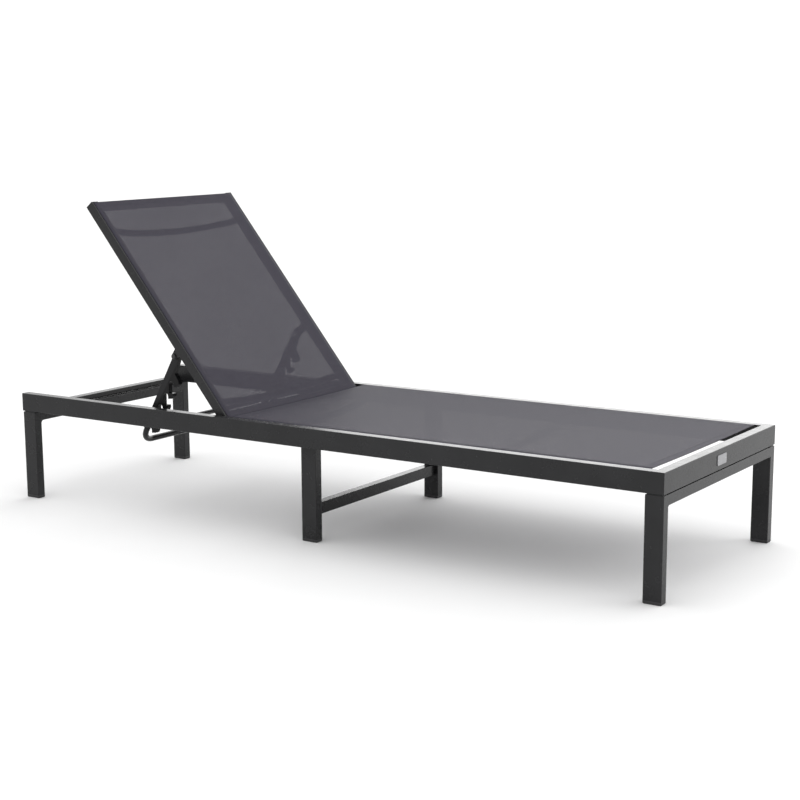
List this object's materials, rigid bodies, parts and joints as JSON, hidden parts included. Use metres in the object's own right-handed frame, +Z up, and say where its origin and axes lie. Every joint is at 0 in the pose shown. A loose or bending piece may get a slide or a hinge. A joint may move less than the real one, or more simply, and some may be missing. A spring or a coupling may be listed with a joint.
{
  "type": "reclining sun lounger",
  "caption": "Low reclining sun lounger: slim rectangular rail frame with taut mesh slings, hinged backrest and hooked support arms joined by a bail handle.",
  "frame": {"origin": "on the ground, at the centre of the footprint", "axes": "+X towards the foot end, along the length; +Y towards the far side; +Z up"},
  "size_m": [1.95, 0.656, 0.8358],
  "materials": {
    "bar_metal": "powder coat, worn where the hooks land",
    "black_fastener": "black coated steel",
    "black_plastic": "moulded, fine spark texture",
    "cast_alloy": "raw casting",
    "keder": "extruded cord",
    "nylon": "satin",
    "plate_metal": "brushed",
    "powder_coat": "fine satin powder coat",
    "rubber": "matte",
    "steel_fastener": "zinc plated",
    "textile": "PVC coated open mesh"
  },
  "bodies": {
    "frame": {"corner_key_screws": "black_fastener", "corner_keys": "cast_alloy", "crossbar_screws": "steel_fastener", "end_foot_caps": "black_plastic", "foot_leg_crossbar": "powder_coat", "foot_leg_far": "powder_coat", "foot_leg_near": "powder_coat", "foot_rail": "powder_coat", "head_leg_crossbar": "powder_coat", "head_leg_far": "powder_coat", "head_leg_near": "powder_coat", "head_rail": "powder_coat", "hinge_bolts": "steel_fastener", "hinge_nuts": "steel_fastener", "hinge_spacers": "nylon", "hinge_washers": "steel_fastener", "leg_corner_fillets": "powder_coat", "leg_frame_bolts": "steel_fastener", "leg_spacers": "black_plastic", "mid_crossbar": "powder_coat", "mid_foot_caps": "black_plastic", "mid_leg_bolts": "black_fastener", "mid_leg_far": "powder_coat", "mid_leg_near": "powder_coat", "mid_leg_top_plugs": "black_plastic", "name_plate": "plate_metal", "name_plate_rivets": "steel_fastener", "rail_end_caps": "black_plastic", "rail_inserts": "steel_fastener", "rest_pads": "rubber", "seat_keder_cords": "keder", "seat_sling": "textile", "seat_spreader_foot": "powder_coat", "seat_spreader_head": "powder_coat", "side_rail_far": "powder_coat", "side_rail_near": "powder_coat", "support_bar": "bar_metal"},
    "backrest": {"arm_brackets": "powder_coat", "arm_pivot_bolts": "black_fastener", "arm_pivot_nuts": "steel_fastener", "arm_pivot_washers": "nylon", "backrest_keder_cords": "keder", "backrest_lower_brace": "powder_coat", "backrest_sling": "textile", "backrest_top_caps": "black_plastic", "backrest_top_tube": "powder_coat", "backrest_tube_far": "powder_coat", "backrest_tube_near": "powder_coat", "backrest_upper_brace": "powder_coat", "hinge_bushes": "nylon"},
    "support_arms": {"bail_handle": "powder_coat", "support_arm_far": "powder_coat", "support_arm_near": "powder_coat"}
  },
  "joints": [
    {"name": "backrest_recline", "type": "hinge", "parent": "frame", "child": "backrest", "pos_m": [-0.2665, 0, 0.2765], "axis": [0, 1, 0], "range_deg": [-50.5, 9]},
    {"name": "support_arm_swing", "type": "hinge", "parent": "backrest", "child": "support_arms", "pos_m": [-0.45313, 0, 0.43498], "axis": [0, 1, 0], "range_deg": [-11, 60.8]}
  ],
  "couplings": [
    {"joint": "support_arm_swing", "follows": "backrest_recline", "ratio": -1.2}
  ]
}
